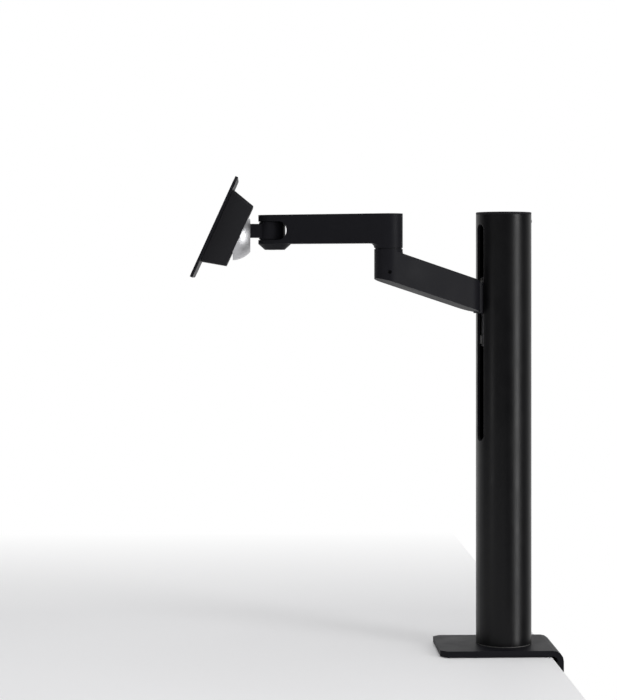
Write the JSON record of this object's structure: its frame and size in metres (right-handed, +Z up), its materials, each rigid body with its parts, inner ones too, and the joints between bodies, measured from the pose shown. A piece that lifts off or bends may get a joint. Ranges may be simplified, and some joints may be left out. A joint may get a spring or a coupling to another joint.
{
  "type": "monitor arm",
  "caption": "Clamp-on monitor arm: round column with a sprung height slide, folding two-link arm and a tilting, turning screen plate.",
  "frame": {"origin": "on the column's axis, in the underside of the desk pad, which is the desk's surface", "axes": "+Z up along the column; -X towards the user and the screen, +X towards the desk's back edge; +Y completes the right hand"},
  "size_m": [0.3993, 0.1296, 0.6222],
  "materials": {
    "black_paint": "matte black powder coat",
    "column_paint": "satin black powder coat",
    "black_plastic": "fine matte grain",
    "satin_alloy": "satin",
    "cast_alloy": "as cast",
    "steel": "zinc plated",
    "spring_steel": "rolled",
    "dark_screw": "black oxide",
    "polymer": "natural acetal",
    "rubber": "matte"
  },
  "bodies": {
    "clamp": {"clamp_bracket": "black_paint", "desk_pad": "rubber", "edge_bumper": "rubber", "lower_jaw": "black_paint", "jaw_screws": "dark_screw", "jaw_thread_boss": "steel", "swivel_spindle": "steel", "spindle_screws": "steel", "swivel_washer": "polymer", "swivel_nut": "steel", "thrust_washer": "polymer"},
    "clamp_shoe": {"pressure_plate": "black_paint", "pressure_pad": "rubber"},
    "clamp_spindle": {"clamp_screw": "steel", "clamp_knob": "black_plastic"},
    "column": {"column_tube": "column_paint", "column_cap": "black_plastic", "slot_liner": "black_plastic", "lower_swivel_bush": "polymer", "upper_swivel_bush": "polymer", "lower_stop": "rubber", "upper_stop": "rubber", "spring_strip": "spring_steel", "spring_anchor": "steel", "anchor_screws": "dark_screw"},
    "carriage": {"carriage_block": "cast_alloy", "glide_rings": "polymer", "neck_screws": "steel", "spool_axle": "steel", "lower_link": "black_paint", "elbow_pin": "steel", "elbow_set_screw": "dark_screw", "elbow_washer": "black_plastic", "elbow_disc_spring": "spring_steel", "elbow_keeper": "steel", "elbow_screw": "steel"},
    "spool": {"spring_spool": "polymer", "spring_coil": "spring_steel"},
    "upper_arm": {"upper_arm": "black_paint", "arm_cover": "black_plastic", "elbow_bush_lower": "polymer", "elbow_bush_upper": "polymer", "elbow_cap": "black_plastic", "wrist_pin": "dark_screw", "wrist_nut": "dark_screw", "wrist_washer_low": "black_plastic", "wrist_washer_high": "black_plastic"},
    "wrist": {"wrist_yoke": "black_paint", "tilt_ball": "satin_alloy", "ball_screws": "steel"},
    "head": {"head_frame": "steel", "tilt_shaft": "steel", "tilt_washers": "polymer", "tilt_nuts": "steel", "head_cover": "black_plastic", "pivot_washer": "polymer"},
    "screen": {"pivot_hub": "cast_alloy", "pivot_nut": "steel", "screen_plate": "black_paint", "hub_screws": "steel"}
  },
  "joints": [
    {"name": "clamp_travel", "type": "slide", "parent": "clamp", "child": "clamp_shoe", "axis": [0, 0, 1], "range_m": [-0.035, 0.01]},
    {"name": "clamp_screw_turn", "type": "hinge", "parent": "clamp_shoe", "child": "clamp_spindle", "pos_m": [0, 0, -0.065], "axis": [0, 0, 1], "range_deg": [-8401, 2401]},
    {"name": "column_swivel", "type": "hinge", "parent": "clamp", "child": "column", "pos_m": [0, 0, 0], "axis": [0, 0, 1], "range_deg": [-150, 150]},
    {"name": "height_slide", "type": "slide", "parent": "column", "child": "carriage", "axis": [0, 0, 1], "range_m": [-0.11, 0.055], "deforming": ["spring_strip"]},
    {"name": "spool_turn", "type": "hinge", "parent": "carriage", "child": "spool", "pos_m": [0.00798, 0.00372, 0.3445], "axis": [0.4226, -0.9063, 0], "range_deg": [-640, 640]},
    {"name": "elbow_swivel", "type": "hinge", "parent": "carriage", "child": "upper_arm", "pos_m": [-0.1296, -0.06043, 0.434], "axis": [0, 0, 1], "range_deg": [-70, 170]},
    {"name": "wrist_swivel", "type": "hinge", "parent": "upper_arm", "child": "wrist", "pos_m": [-0.25105, -0.0038, 0.4537], "axis": [0, 0, 1], "range_deg": [-115, 65]},
    {"name": "head_tilt", "type": "hinge", "parent": "wrist", "child": "head", "pos_m": [-0.29455, -0.0038, 0.4484], "axis": [0, 1, 0], "range_deg": [-49.5, 0.5]},
    {"name": "screen_pivot", "type": "hinge", "parent": "head", "child": "screen", "pos_m": [-0.29455, -0.0038, 0.4484], "axis": [-0.91, 0, 0.4147], "range_deg": [-90, 90]}
  ],
  "couplings": [
    {"joint": "clamp_screw_turn", "follows": "clamp_travel", "rad_per_m": 4188.8},
    {"joint": "spool_turn", "follows": "height_slide", "rad_per_m": -100}
  ]
}
